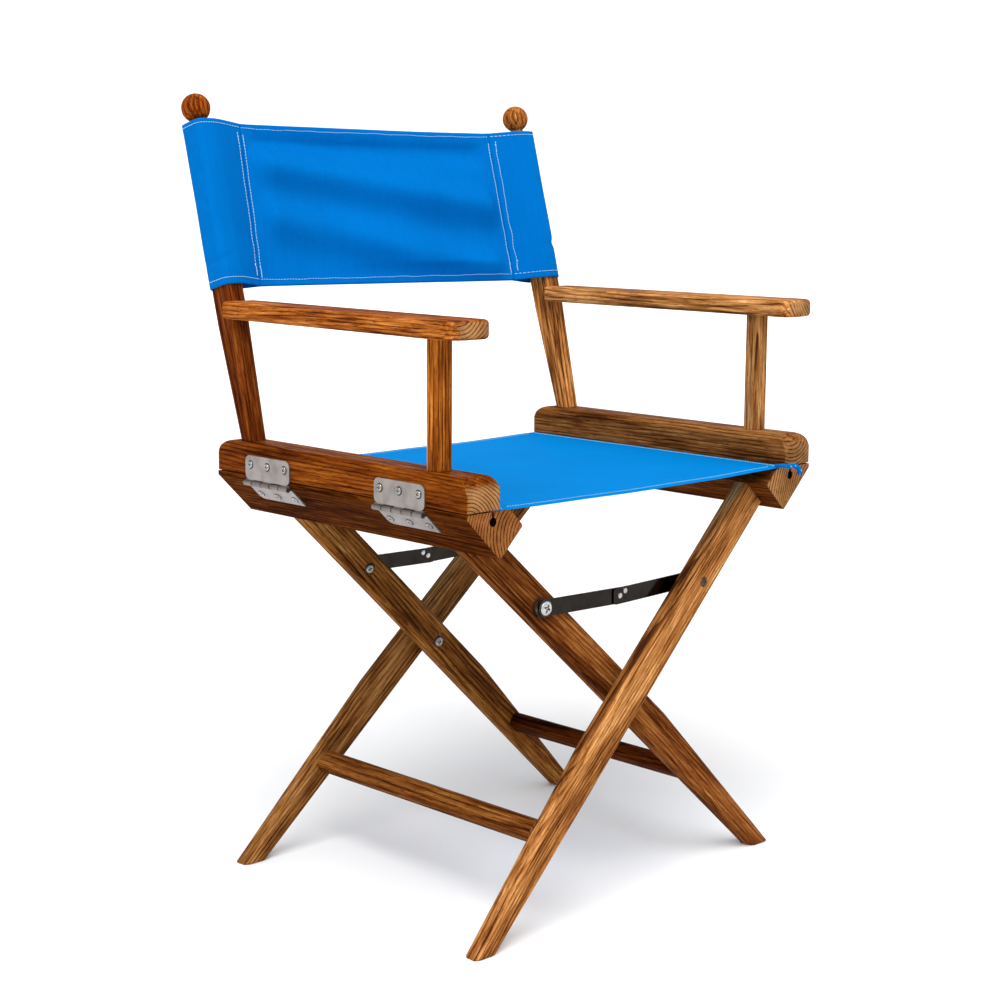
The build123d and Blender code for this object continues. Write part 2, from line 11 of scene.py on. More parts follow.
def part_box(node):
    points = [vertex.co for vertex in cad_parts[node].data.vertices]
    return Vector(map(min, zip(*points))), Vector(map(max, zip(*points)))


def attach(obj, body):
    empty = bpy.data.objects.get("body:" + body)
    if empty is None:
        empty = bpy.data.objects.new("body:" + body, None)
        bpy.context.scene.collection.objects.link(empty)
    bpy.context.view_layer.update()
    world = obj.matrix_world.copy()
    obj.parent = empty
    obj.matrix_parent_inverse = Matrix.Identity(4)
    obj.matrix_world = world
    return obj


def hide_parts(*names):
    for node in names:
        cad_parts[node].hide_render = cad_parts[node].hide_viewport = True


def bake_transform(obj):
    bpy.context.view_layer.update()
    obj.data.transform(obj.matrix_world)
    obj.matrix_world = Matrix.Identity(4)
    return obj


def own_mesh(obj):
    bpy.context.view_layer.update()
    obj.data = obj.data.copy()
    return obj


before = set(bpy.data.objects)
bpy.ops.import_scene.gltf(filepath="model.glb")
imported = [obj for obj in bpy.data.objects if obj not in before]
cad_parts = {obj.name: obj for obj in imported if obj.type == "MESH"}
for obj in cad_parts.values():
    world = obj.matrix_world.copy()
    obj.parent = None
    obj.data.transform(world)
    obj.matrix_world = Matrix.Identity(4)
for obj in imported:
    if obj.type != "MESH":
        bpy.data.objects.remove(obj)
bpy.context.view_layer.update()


# ---- The studio ----
# The chair stands on a seamless pale floor in a white room. One strong soft light stands
# high in front of it on the left, and a weak, still softer one in front on the right.
class Wire:
    """One output socket of a finish; sums on it add Math nodes."""

    def __init__(self, finish, socket):
        self.finish = finish
        self.socket = socket

    def math(self, operation, *others):
        terms = dict(enumerate((self,) + others))
        return self.finish.node("ShaderNodeMath", {"operation": operation}, terms)["Value"]

    def __add__(self, other):
        return self.math("ADD", other)

    def __radd__(self, other):
        return self.math("ADD", other)

    def __sub__(self, other):
        return self.math("SUBTRACT", other)

    def __rsub__(self, other):
        return (self * -1).math("ADD", other)

    def __mul__(self, other):
        return self.math("MULTIPLY", other)

    def __rmul__(self, other):
        return self.math("MULTIPLY", other)

    def __pow__(self, other):
        return self.math("POWER", other)

    def between(self, low, high):
        settings = {"interpolation_type": "SMOOTHSTEP", "clamp": True}
        sockets = {"Value": self, "From Min": low, "From Max": high}
        return self.finish.node("ShaderNodeMapRange", settings, sockets)["Result"]


class Finish:
    """One material: fixed sockets are set on its shader, the rest are wired in."""

    def __init__(self, name, fixed):
        self.material = bpy.data.materials.new(name)
        self.material.use_nodes = True
        self.tree = self.material.node_tree
        self.shader = self.tree.nodes["Principled BSDF"]
        for socket, value in fixed.items():
            self.shader.inputs[socket].default_value = value

    def node(self, kind, settings, sockets):
        made = self.tree.nodes.new(kind)
        for name, value in settings.items():
            if name == "stops":
                while len(made.color_ramp.elements) < len(value):
                    made.color_ramp.elements.new(0.5)
                for element, (position, colour) in zip(made.color_ramp.elements, value):
                    element.position = position
                    element.color = colour
            else:
                setattr(made, name, value)
        known = {socket.identifier: socket for socket in made.inputs}
        for name, value in sockets.items():
            socket = known[name] if name in known else made.inputs[name]
            if isinstance(value, Wire):
                self.tree.links.new(value.socket, socket)
            else:
                socket.default_value = value
        return {socket.identifier: Wire(self, socket) for socket in made.outputs}

    def feed(self, name, wire):
        self.tree.links.new(wire.socket, self.shader.inputs[name])

    def place(self, turn, shift):
        spot = self.node("ShaderNodeTexCoord", {}, {})["Object"]
        sockets = {"Vector": spot, "Rotation": turn, "Location": shift}
        return self.node("ShaderNodeMapping", {}, sockets)["Vector"]

    def stretched(self, place, stretch):
        sockets = {"Vector": place, "Vector_001": stretch}
        return self.node("ShaderNodeVectorMath", {"operation": "MULTIPLY"}, sockets)["Vector"]

    def cloud(self, place, stretch, scale, detail):
        sockets = {"Vector": self.stretched(place, stretch), "Scale": scale, "Detail": detail}
        return self.node("ShaderNodeTexNoise", {}, sockets)["Fac"]

    def blend(self, how, factor, first, second):
        settings = {"data_type": "RGBA", "blend_type": how, "clamp_factor": True}
        sockets = {"Factor_Float": factor, "A_Color": first, "B_Color": second}
        return self.node("ShaderNodeMix", settings, sockets)["Result_Color"]

    def emboss(self, height, strength, distance, sockets):
        sockets = dict(sockets, Height=height, Strength=strength, Distance=distance)
        self.feed("Normal", self.node("ShaderNodeBump", {}, sockets)["Normal"])


def circle(count):
    """Unit circle points, counted round once."""
    return [(math.cos(math.tau * step / count), math.sin(math.tau * step / count))
            for step in range(count)]


def bridge(mesh_maker, first, second):
    """Join two closed rings of points with a band of faces."""
    around = len(first)
    return [mesh_maker.faces.new((first[step], first[(step + 1) % around],
                                  second[(step + 1) % around], second[step]))
            for step in range(around)]


def shape(name, mesh_maker, finish):
    """Make an object of one finish from a bmesh, with its faces smooth."""
    mesh_maker.normal_update()
    mesh = bpy.data.meshes.new(name)
    mesh_maker.to_mesh(mesh)
    mesh_maker.free()
    for face in mesh.polygons:
        face.use_smooth = True
    piece = bpy.data.objects.new(name, mesh)
    bpy.context.collection.objects.link(piece)
    piece.data.materials.append(finish)
    return piece


pale = Finish("pale_floor", {"Specular IOR Level": 0.1})
mottle = pale.cloud(pale.place((0, 0, 0), (0, 0, 0)), (1, 1, 1), 5, 3)
pale.feed("Base Color", pale.blend("MIX", mottle, (0.86, 0.86, 0.86, 1), (0.9, 0.9, 0.9, 1)))
pale.feed("Roughness", mottle * 0.1 + 0.8)

facets = 96
floor_mesh = bmesh.new()
bmesh.ops.create_circle(floor_mesh, cap_ends=True, segments=facets, radius=7.0)
floor = shape("floor", floor_mesh, pale.material)
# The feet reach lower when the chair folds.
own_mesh(floor)

cove_start = 5.6
cove_radius = 1.3
cove_drop = 0.12
wall_top = 2.6
cove_steps = 12
cove_profile = []
for turn in range(cove_steps + 1):
    angle = math.pi / 2 * turn / cove_steps
    cove_profile.append((cove_start + cove_radius * math.sin(angle),
                         cove_radius * (1 - math.cos(angle)) - cove_drop))
cove_profile.append((cove_start + cove_radius, wall_top))
cove_mesh = bmesh.new()
cove_rings = [[cove_mesh.verts.new((reach * across, reach * along, rise))
               for across, along in circle(facets)] for reach, rise in cove_profile]
for below, above in zip(cove_rings, cove_rings[1:]):
    bridge(cove_mesh, above, below)
cove = shape("cove", cove_mesh, pale.material)

room = bpy.data.worlds.new("room")
room.use_nodes = True
background = room.node_tree.nodes["Background"]
background.inputs["Color"].default_value = (1, 1, 1, 1)
background.inputs["Strength"].default_value = 0.62
bpy.context.scene.world = room
bpy.context.scene.view_settings.view_transform = "Standard"

for name, spot, spread, strength in (("softbox", (-1.5, -1.3, 3.1), 45, 2.7),
                                    ("fill", (1.6, -2.2, 2.0), 80, 0.5)):
    lamp = bpy.data.objects.new(name, bpy.data.lights.new(name, "SUN"))
    lamp.data.angle = math.radians(spread)
    lamp.data.energy = strength
    lamp.location = spot
    lamp.rotation_euler = (Vector((0, 0, 0.4)) - Vector(spot)).to_track_quat("-Z", "Y").to_euler()
    bpy.context.collection.objects.link(lamp)

camera = bpy.data.objects.new("camera", bpy.data.cameras.new("camera"))
camera.data.lens = 71.213
camera.location = (-1.5415, -1.5949, 0.7739)
camera.rotation_euler = [math.radians(angle) for angle in (80.804, -0.387, -44.032)]
bpy.context.collection.objects.link(camera)
bpy.context.scene.camera = camera


# ---- Legs ----
# Four straight legs sawn from oiled teak with softened edges and level feet, tenoned into
# the seat rails. The grain runs along each leg, with fine open pores and dark growth lines.
def teak(name, grain, middle, tone, heart, end_tone, groove):
    """Oiled teak: growth rings round a heart line, streaks and pores along the grain.

    A groove is given by its middle across and up, and its radius; its inside and the slit above
    it are painted near black as shade.
    """
    wood = Finish(name, {"Specular IOR Level": 0.003 if groove else 0.014})
    turn = Vector(grain).rotation_difference(Vector((0, 0, 1))).to_matrix()
    shift = Vector(heart) - turn @ Vector(middle)
    board = wood.place(turn.to_euler(), shift)
    wander = wood.cloud(board, (1, 1, 0.22), 9, 1)
    tremble = wood.cloud(board, (1, 1, 0.30), 70, 2)
    across = wood.stretched(board, (1, 1, 0))
    radius = wood.node("ShaderNodeVectorMath", {"operation": "LENGTH"}, {"Vector": across})
    season = ((radius["Value"] + (wander - 0.5) * 0.045 + tremble * 0.0024) * 250).math("FRACT")
    strength = wood.cloud(board, (1, 1, 0.10), 120, 2).between(0.3, 0.7)
    late = season.between(0.50, 0.93) * (1 - season.between(0.95, 1.0)) * (0.35 + 0.65 * strength)
    streak = wood.cloud(board, (1, 1, 0.07), 260, 5)
    fibre = wood.cloud(board, (1, 1, 0.04), 680, 4)
    broad = wood.cloud(board, (1, 1, 0.12), 42, 5)
    pores = wood.cloud(board, (1, 1, 0.10), 1000, 2)
    shade = broad + streak + fibre * 0.9 - late * 0.38 - 0.92
    red, green, blue = tone
    stops = [(place, (light * red, light * ratio * green, light * low * blue, 1))
             for place, light, ratio, low in ((0.08, 0.035, 0.27, 0.08), (0.30, 0.12, 0.31, 0.08),
                                              (0.50, 0.24, 0.36, 0.10), (0.70, 0.37, 0.43, 0.15),
                                              (0.92, 0.55, 0.52, 0.24))]
    colour = wood.node("ShaderNodeValToRGB", {"stops": stops}, {"Fac": shade})["Color"]
    open_pore = pores.between(0.56, 0.70)
    colour = wood.blend("MULTIPLY", open_pore * 0.7, colour, (0.22, 0.15, 0.10, 1))
    surface = wood.node("ShaderNodeTexCoord", {}, {})["Normal"]
    sockets = {"Vector": surface, "Vector_001": tuple(Vector(grain).normalized())}
    facing = wood.node("ShaderNodeVectorMath", {"operation": "DOT_PRODUCT"}, sockets)["Value"]
    end_grain = facing.math("ABSOLUTE").between(0.72, 0.97)
    ring_tint = late.between(0.04, 0.6)
    red, green, blue = end_tone
    pale_end = wood.blend("MIX", ring_tint, (0.50 * red, 0.27 * green, 0.12 * blue, 1),
                          (0.09 * red, 0.034 * green, 0.012 * blue, 1))
    end_pore, damp = pores.between(0.5, 0.66), broad.between(0.62, 0.38)
    pale_end = wood.blend("MULTIPLY", end_pore * 0.4, pale_end, (0.4, 0.3, 0.2, 1))
    pale_end = wood.blend("MULTIPLY", damp * 0.6, pale_end, (0.5, 0.4, 0.3, 1))
    colour = wood.blend("MIX", end_grain * 0.92, colour, pale_end)
    eased = wood.node("ShaderNodeBevel", {"samples": 4}, {"Radius": 0.0018})["Normal"]
    flat = wood.node("ShaderNodeNewGeometry", {}, {})["Normal"]
    sockets = {"Vector": eased, "Vector_001": flat}
    square = wood.node("ShaderNodeVectorMath", {"operation": "DOT_PRODUCT"}, sockets)["Value"]
    # The rounded edges are lightened, partly as wear and partly as a painted highlight.
    edge_wear_and_highlight = (1 - square).between(0.01, 0.22) * broad.between(0.35, 0.6)
    colour = wood.blend("MIX", edge_wear_and_highlight * 0.35, colour, (0.45 * red, 0.22 * green, 0.085 * blue, 1))
    # Painted shade: the groove's inside and the slit above it are coloured near black.
    if groove:
        groove_x, groove_z, groove_radius = groove
        upright = wood.place((0, 0, 0), (0, 0, 0))
        parts = wood.node("ShaderNodeSeparateXYZ", {}, {"Vector": upright})
        off = parts["X"] - groove_x
        bore = (off * off + (parts["Z"] - groove_z) ** 2).math("SQRT")
        inside = 1 - bore.between(groove_radius - 0.0002, groove_radius + 0.0001)
        above = parts["Z"].between(groove_z, groove_z + 0.001)
        slit = (1 - off.math("ABSOLUTE").between(0.0011, 0.0014)) * above
        shadow = inside.math("MAXIMUM", slit)
        colour = wood.blend("MIX", shadow * 0.96, colour, (0.004, 0.003, 0.002, 1))
    wood.feed("Base Color", colour)
    wood.feed("Roughness", 0.44 + open_pore * 0.25 + (1 - streak) * 0.14)
    wood.emboss(streak * 0.6 - late * 0.25 - open_pore * 0.7, 0.6, 0.0006, {"Normal": eased})
    return wood.material


def oil(node, grain, tone, heart, end_tone=(0.9, 0.85, 0.75), groove=None):
    """Give one solid its own board of teak; a groove, if it has one, has painted shade inside."""
    low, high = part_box(node)
    middle = (Vector(low) + Vector(high)) / 2
    board = teak(node + "_teak", grain, middle, tone, heart, end_tone, groove)
    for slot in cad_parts[node].material_slots:
        slot.material = board


leg_lean = math.radians(47.24)
leg_splay = math.tan(math.radians(4.0))
leg_rise = math.cos(leg_lean)
for node, side, end, tone, heart in (
        ("inner_front_leg", -1, -1, (0.75, 0.60, 0.38), (0.045, 0.018, 0.1)),
        ("inner_rear_leg", -1, 1, (0.94, 0.92, 0.58), (0.03, 0.05, 0.5)),
        ("outer_front_leg", 1, -1, (1.45, 1.50, 1.30), (-0.02, 0.012, 0.9)),
        ("outer_rear_leg", 1, 1, (0.90, 0.95, 0.80), (0.04, -0.03, 1.3))):
    oil(node, (side * math.sin(leg_lean), -end * leg_rise * leg_splay, leg_rise), tone, heart)


# ---- Stretchers ----
# A rounded teak bar joins the two legs of each frame low down, its ends turned to dowels
# and glued into the inner faces of the legs.
oil("inner_stretcher", (0, 1, 0), (0.27, 0.14, 0.04), (0.02, 0.03, 1.9))
oil("outer_stretcher", (0, 1, 0), (0.64, 0.53, 0.30), (0.05, 0.01, 2.3))


# ---- Seat rails ----
# Square teak bars set on edge with the top planed flat, mortised for the legs and grooved
# for the cord of the seat. The saw-cut ends show the growth rings.
groove_radius = 0.0047
# The seat rails' dark tones are partly painted shade, as their bevels face down; the left rail's
# is darkest.
for hand, tone, heart, end_tone in (
        ("left", (0.34, 0.21, 0.05), (-0.075, -0.012, 0.2), (0.70, 0.50, 0.34)),
        ("right", (0.40, 0.28, 0.14), (-0.080, -0.035, 0.7), (0.84, 0.76, 0.62))):
    low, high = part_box(hand + "_hem_cord")
    cord_groove = ((low[0] + high[0]) / 2, (low[2] + high[2]) / 2, groove_radius)
    oil(hand + "_seat_rail", (0, 1, 0), tone, heart, end_tone, cord_groove)


# ---- Pivot bolts and spacers ----
# Stainless machine bolts with shallow domed heads and a cross recess turn in the legs,
# with a thick turned washer between each pair.
def steel(name, colour, roughness, scale, stretch, knuckle=None):
    """Stainless steel with fine brushing along one direction, stains, and painted shade darkening
    the hinge knuckles.
    """
    metal = Finish(name, {"Metallic": 1.0})
    place = metal.place((0, 0, 0), (0, 0, 0))
    brushed = metal.cloud(place, stretch, scale, 3)
    stain = metal.cloud(place, (1, 1, 1), 70, 3)
    dull = tuple(part * 0.72 for part in colour)
    tint = metal.blend("MIX", stain.between(0.35, 0.75), (*colour, 1), (*dull, 1))
    # Painted shade: the steel round the knuckle barrel is darkened.
    if knuckle:
        knuckle_x, knuckle_z = knuckle
        parts = metal.node("ShaderNodeSeparateXYZ", {}, {"Vector": place})
        out = parts["X"].math("ABSOLUTE") - knuckle_x
        away = (out * out + (parts["Z"] - knuckle_z) ** 2).math("SQRT")
        tint = metal.blend("MULTIPLY", (1 - away.between(0.0030, 0.0044)) * 0.9, tint,
                           (0.66, 0.64, 0.62, 1))
    metal.feed("Base Color", tint)
    metal.feed("Roughness", roughness + brushed * roughness * 0.5 + stain * 0.08)
    metal.emboss(brushed, 0.15, 0.0001, {})
    return metal.material


def head(bar, middle, axis, radius, height, recess):
    """Add a domed head, standing on middle and facing along axis.

    A recess is a cross, with painted shade inside, in a head with a thin ring of painted shadow
    round its brim.
    """
    around, arm_half, arm_reach = 48, 0.13, 0.62
    dark_half, dark_reach, brim_reach, brim_lift = 0.14, 0.6, 1.24, 0.00012
    turn = Vector(axis).to_track_quat("Z", "Y").to_matrix()
    turn = turn @ Matrix.Rotation(0.6 + 1.7 * sum(middle) * 100, 3, "Z")

    def spot(across, up, level):
        return Vector(middle) + turn @ Vector((across * radius, up * radius, level))

    rows = []
    for ring in (0.10, 0.18, 0.26, 0.34, 0.42, 0.50, 0.58, 0.68, 0.78, 0.88, 0.95, 0.99, 1.0):
        row = []
        dome = height * (0.35 + 0.65 * math.sqrt(1 - ring * ring))
        for across, up in circle(around):
            in_cross = recess and ring * min(abs(across), abs(up)) < arm_half and ring < arm_reach
            level = dome - height * 0.5 * (1 - ring / 0.9) if in_cross else dome
            row.append(bar.verts.new(spot(ring * across, ring * up, level)))
        rows.append(row)
    rows.append([bar.verts.new(spot(across, up, -0.0002)) for across, up in circle(around)])
    centre = bar.verts.new(spot(0, 0, height * 0.5 if recess else height))
    for step in range(around):
        bar.faces.new((centre, rows[0][step], rows[0][(step + 1) % around]))
    for below, above in zip(rows, rows[1:]):
        for patch in bridge(bar, above, below):
            local = turn.inverted() @ (patch.calc_center_median() - Vector(middle))
            across, up = abs(local[0]) / radius, abs(local[1]) / radius
            in_cross = recess and min(across, up) < dark_half and max(across, up) < dark_reach
            # The faces inside the cross take the near-black steel as painted shade.
            patch.material_index = int(in_cross)
    # A thin near-black ring laid round the head is painted shadow.
    if recess:
        brim = [bar.verts.new(spot(brim_reach * across, brim_reach * up, brim_lift))
                for across, up in circle(around)]
        for rim in bridge(bar, brim, rows[-2]):
            rim.material_index = 1


def shank(bar, start, stop, radius, chamfer):
    """Add a turned round bar with chamfered ends from start to stop."""
    axis = Vector(stop) - Vector(start)
    turn = axis.to_track_quat("Z", "Y").to_matrix()
    outline = [(0.0, 0.0), (radius - chamfer, 0.0), (radius, chamfer),
               (radius, axis.length - chamfer), (radius - chamfer, axis.length),
               (0.0, axis.length)]
    rows = [[bar.verts.new(Vector(start) + turn @ Vector((reach * across, reach * up, along)))
             for across, up in circle(32)] for reach, along in outline]
    for below, above in zip(rows, rows[1:]):
        bridge(bar, below, above)
    bmesh.ops.remove_doubles(bar, verts=bar.verts, dist=1e-6)


def turned(name, mesh_maker, metal, body, slot, *nodes):
    """A turned steel piece with near-black steel for its painted shadows, riding on a body in
    place of solids.
    """
    piece = shape(name, mesh_maker, metal)
    piece.data.materials.append(painted_shadow_steel)
    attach(piece, body)
    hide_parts(*nodes)
    return piece


chair_y = -0.0345
pivot_z = 0.229
pivot_seat, pivot_radius, pivot_chamfer = 0.0026, 0.004, 0.0004
pivot_head, pivot_dome = 0.0056, 0.0028
# Near-black steel that paints shadow: in the cross recesses, in a ring round the heads, and on
# the hinge pins.
painted_shadow_steel = steel("countersink_shadow", (0.07, 0.06, 0.055), 0.45, 600, (1, 1, 1))
bolt_steel = steel("bolt_steel", (0.40, 0.385, 0.37), 0.24, 420, (1, 1, 1))
bright_steel = steel("bright_steel", (0.66, 0.65, 0.64), 0.2, 420, (1, 1, 1))
aged_steel = steel("aged_steel", (0.11, 0.085, 0.06), 0.3, 420, (1, 1, 1))
for place, end in (("front", -1), ("rear", 1)):
    low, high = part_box(place + "_pivot_bolt")
    bolt_mesh = bmesh.new()
    inner_y, outer_y = (high[1], low[1]) if end < 0 else (low[1], high[1])
    seat = (0, inner_y + end * pivot_seat, pivot_z)
    shank(bolt_mesh, seat, (0, outer_y, pivot_z), pivot_radius, pivot_chamfer)
    head(bolt_mesh, seat, (0, -end, 0), pivot_head, pivot_dome, True)
    turned(place + "_pivot_bolt_turned", bolt_mesh, bolt_steel, "pivots", "bolts",
           place + "_pivot_bolt")
    for node in (place + "_pivot_spacer", place + "_stay_spacer"):
        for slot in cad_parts[node].material_slots:
            slot.material = bolt_steel


# ---- Folding stays ----
# Two polished stainless straps at each end of the chair meet at a riveted knuckle and lock
# flat under the seat. Each hangs from its own leg on a bolt.
# The straps' near-black colour is a painted reflection of dark surroundings in their polished
# steel.
dark_reflection_steel = steel("mirror_steel", (0.026, 0.022, 0.019), 0.07, 60, (1, 6, 1))
rivet_steel = steel("rivet_steel", (0.58, 0.56, 0.54), 0.18, 400, (1, 1, 1))
stay_x, stay_z = 0.11285, 0.33309
head_seat, stay_radius, stay_chamfer = 0.0026, 0.003, 0.0003
rivet_head, rivet_dome = 0.0031, 0.0011
small_head, big_head = (0.0050, 0.0024), (0.0078, 0.0036)
for place, end in (("front", -1), ("rear", 1)):
    for hand, side, body in (("left", -1, "inner_frame"), ("right", 1, "outer_frame")):
        link = place + "_" + hand + "_link"
        strap = place + "_" + hand + "_stay"
        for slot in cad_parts[strap].material_slots:
            slot.material = dark_reflection_steel
        rivets = bmesh.new()
        low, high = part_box(strap + "_rivets")
        outward = -1 if (side < 0) == (end > 0) else 1
        base_y = high[1] if outward < 0 else low[1]
        for along, drop in ((0.0, 0.0026), (0.008, -0.0018)):
            head(rivets, (side * along, base_y, stay_z - drop), (0, outward, 0),
                 rivet_head, rivet_dome, False)
        turned(strap + "_rivet_heads", rivets, rivet_steel, link, "bolts", strap + "_rivets")

        low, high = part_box(strap + "_bolt")
        bolt_mesh = bmesh.new()
        near = Vector((side * stay_x, low[1] + head_seat, stay_z))
        far = Vector((side * stay_x, high[1] - head_seat, stay_z))
        shank(bolt_mesh, near, far, stay_radius, stay_chamfer)
        near_head, metal = small_head, bolt_steel
        if strap == "front_left_stay":
            near_head, metal = big_head, bright_steel
        elif strap == "front_right_stay":
            metal = aged_steel
        head(bolt_mesh, near, (0, -1, 0), *near_head, True)
        head(bolt_mesh, far, (0, 1, 0), *small_head, True)
        turned(strap + "_bolt_turned", bolt_mesh, metal, body, "bolts", strap + "_bolt")


# ---- Hinges ----
# Stainless butt hinges, two a side, with rounded leaves. The upper leaf is screwed to the
# arm rail and the lower to the bevel of the seat rail, on three pan-head screws each.
rail_x, barrel_z, lip_z = 0.2672, 0.4465, 0.4490
leaf_face, screw_up, screw_pitch = 0.00184, 0.020, 0.029
upper_screw, lower_screw = (0.0038, 0.0019), (0.0036, 0.0011)
front_hinge, rear_hinge = chair_y - 0.103, chair_y + 0.110
leaf_steel = steel("leaf_steel", (0.37, 0.335, 0.32), 0.30, 240, (1, 0.06, 1), (0.270, barrel_z))
screw_steel = steel("screw_steel", (0.46, 0.44, 0.42), 0.16, 500, (1, 1, 1))
for hand, side, frame_body in (("left", -1, "inner_frame"), ("right", 1, "outer_frame")):
    for place in ("front", "rear"):
        for leaf in ("_upper_leaf", "_lower_leaf"):
            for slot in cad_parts[hand + "_" + place + leaf].material_slots:
                slot.material = leaf_steel
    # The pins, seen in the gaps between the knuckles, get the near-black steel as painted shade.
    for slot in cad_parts[hand + "_hinge_pins"].material_slots:
        slot.material = painted_shadow_steel
    upper, lower = bmesh.new(), bmesh.new()
    slope = Vector((side, 0, -1)).normalized()
    for middle_y in (front_hinge, rear_hinge):
        for shift in (-screw_pitch, 0, screw_pitch):
            spot = (side * (rail_x + leaf_face), middle_y + shift, barrel_z + screw_up)
            head(upper, spot, (side, 0, 0), *upper_screw, True)
            down = screw_up / math.sqrt(2)
            spot = Vector((side * (rail_x - down), middle_y + shift, lip_z - down))
            head(lower, tuple(spot + slope * leaf_face), slope, *lower_screw, True)
    for screws, node, body in ((upper, "_arm_rail_screws", hand + "_arm"),
                               (lower, "_seat_rail_screws", frame_body)):
        turned(hand + node + "_heads", screws, screw_steel, body, "screws", hand + node)


# ---- Arm rails, posts and balls ----
# The arm rails lie on the seat rails, with the front post and the leaning, tapered back post
# tenoned in. A turned ball is pegged on top of each back post.
post_lean = math.radians(15.26)
up_post = (0, math.sin(post_lean), math.cos(post_lean))
for node, grain, tone, heart in (
        ("left_arm_rail", (0, 1, 0), (0.67, 0.40, 0.09), (0.020, -0.034, 0.4)),
        ("right_arm_rail", (0, 1, 0), (0.84, 0.80, 0.62), (0.015, 0.050, 1.1)),
        ("left_front_post", (0, 0, 1), (1.50, 1.17, 0.45), (0.03, 0.02, 0.3)),
        ("right_front_post", (0, 0, 1), (1.26, 1.40, 1.30), (0.02, 0.04, 0.8)),
        ("left_back_post", up_post, (0.57, 0.32, 0.12), (0.04, 0.02, 0.6)),
        ("right_back_post", up_post, (2.00, 2.10, 1.75), (-0.03, 0.03, 1.6)),
        ("left_finial", up_post, (1.14, 0.66, 0.23), (0.012, 0.004, 0.2)),
        ("right_finial", up_post, (1.45, 1.30, 0.85), (0.010, 0.008, 0.9))):
    sawn = (0.66, 0.62, 0.54) if node == "right_arm_rail" else (0.86, 0.80, 0.70)
    oil(node, grain, tone, heart, sawn)


# ---- Armrests ----
# Flat teak boards with rounded corners, let round the back posts and pegged on the front
# posts, wider towards the front.
oil("left_armrest", (0, 1, 0), (1.38, 1.03, 0.50), (0.02, 0.030, 0.5))
oil("right_armrest", (0, 1, 0), (1.90, 2.05, 1.85), (-0.03, 0.034, 1.4))


# ---- Seat sling ----
# One width of plain-woven blue canvas, stretched between the seat rails under the arm rails,
# with a turned hem front and back, sewn in white thread.
def canvas(name, lean, colour):
    """Blue canvas: a fine plain weave, slight fading and a soft nap."""
    cloth = Finish(name, {"Specular IOR Level": 0.01})
    place = cloth.place((lean, 0, 0), (0, 0, 0))
    warp = cloth.cloud(place, (1, 0.06, 0.06), 1500, 1)
    weft = cloth.cloud(place, (0.06, 1, 1), 1500, 1)
    weave = warp * 0.5 + weft * 0.5
    fade = cloth.cloud(place, (1, 1, 1), 9, 4)
    slub = cloth.cloud(place, (1, 0.05, 0.05), 260, 2)
    deep = tuple(part * 0.82 for part in colour)
    shade = (fade * 0.5 + weave * 0.7 + slub * 0.25 - 0.22).between(0.2, 0.8)
    cloth.feed("Base Color", cloth.blend("MIX", shade, (*deep, 1), (*colour, 1)))
    cloth.feed("Roughness", 0.78 + weave * 0.15)
    cloth.emboss(weave + slub * 0.3, 0.25, 0.0003, {})
    return cloth.material


thread = Finish("white_thread", {"Sheen Weight": 0.3})
twist = thread.cloud(thread.place((0, 0, 0), (0, 0, 0)), (1, 1, 1), 1800, 2)
strand = thread.blend("MIX", twist, (0.45, 0.70, 0.78, 1), (0.70, 0.95, 0.98, 1))
thread.feed("Base Color", strand)
thread.feed("Roughness", 0.6 + twist * 0.2)


def stitches(name, spots, normals):
    """Sew a row of thread stitches along spots, each a rounded dash between two of them."""
    thickness, lift = 0.00032, 0.0003
    row = bmesh.new()
    for (start, stop), normal in zip(spots, normals):
        out = Vector(normal)
        run = Vector(stop) - Vector(start)
        along = run.normalized()
        across = along.cross(out).normalized()
        rings = []
        for part, width in ((0.0, 0.25), (0.12, 0.85), (0.5, 1.0), (0.88, 0.85), (1.0, 0.25)):
            middle = Vector(start) + run * part + out * (lift * math.sin(math.pi * part))
            rings.append([row.verts.new(middle + (across * side + out * up) * thickness * width)
                          for side, up in circle(6)])
        for first, second in zip(rings, rings[1:]):
            bridge(row, first, second)
        row.faces.new(rings[0][::-1])
        row.faces.new(rings[-1])
    return shape(name, row, thread.material)


def dashes(point, outward, start, stop, pitch, length, wobble):
    """Ends and outward directions of stitches along a line on a surface, slightly uneven."""
    spots, normals = [], []
    count = int((stop - start) / pitch)
    for step in range(count):
        begin = start + step * pitch
        drift = wobble * noise.noise(Vector((begin * 60, start * 7, 3.1)))
        spots.append((point(begin, drift), point(begin + length, drift)))
        normals.append(Vector(outward(begin)))
    return spots, normals


def grid_sheet(name, columns, rows, top, bottom, finish, joined=False):
    """A closed sheet of cloth from its upper and lower surfaces, edges joined."""
    sheet = bmesh.new()
    faces = []
    for surface in (top, bottom):
        faces.append([[sheet.verts.new(surface(u / columns, v / rows)) for v in range(rows + 1)]
                      for u in range(columns + 1)])
    upper, lower = faces
    for u in range(columns):
        for v in range(rows):
            sheet.faces.new((upper[u][v], upper[u + 1][v], upper[u + 1][v + 1], upper[u][v + 1]))
            sheet.faces.new((lower[u][v], lower[u][v + 1], lower[u + 1][v + 1], lower[u + 1][v]))
    for u in range(columns):
        sheet.faces.new((upper[u][0], lower[u][0], lower[u + 1][0], upper[u + 1][0]))
        sheet.faces.new((upper[u][rows], upper[u + 1][rows], lower[u + 1][rows], lower[u][rows]))
    for v in range(rows):
        wall = sheet.faces.new((upper[0][v], upper[0][v + 1], lower[0][v + 1], lower[0][v]))
        for edge in wall.edges:
            edge.smooth = not joined
        sheet.faces.new((upper[columns][v], lower[columns][v], lower[columns][v + 1],
                         upper[columns][v + 1]))
    return shape(name, sheet, finish)


cloth_top = 0.45445
bend_x = 0.2056
half_seat, groove_reach = 0.199, 0.2322


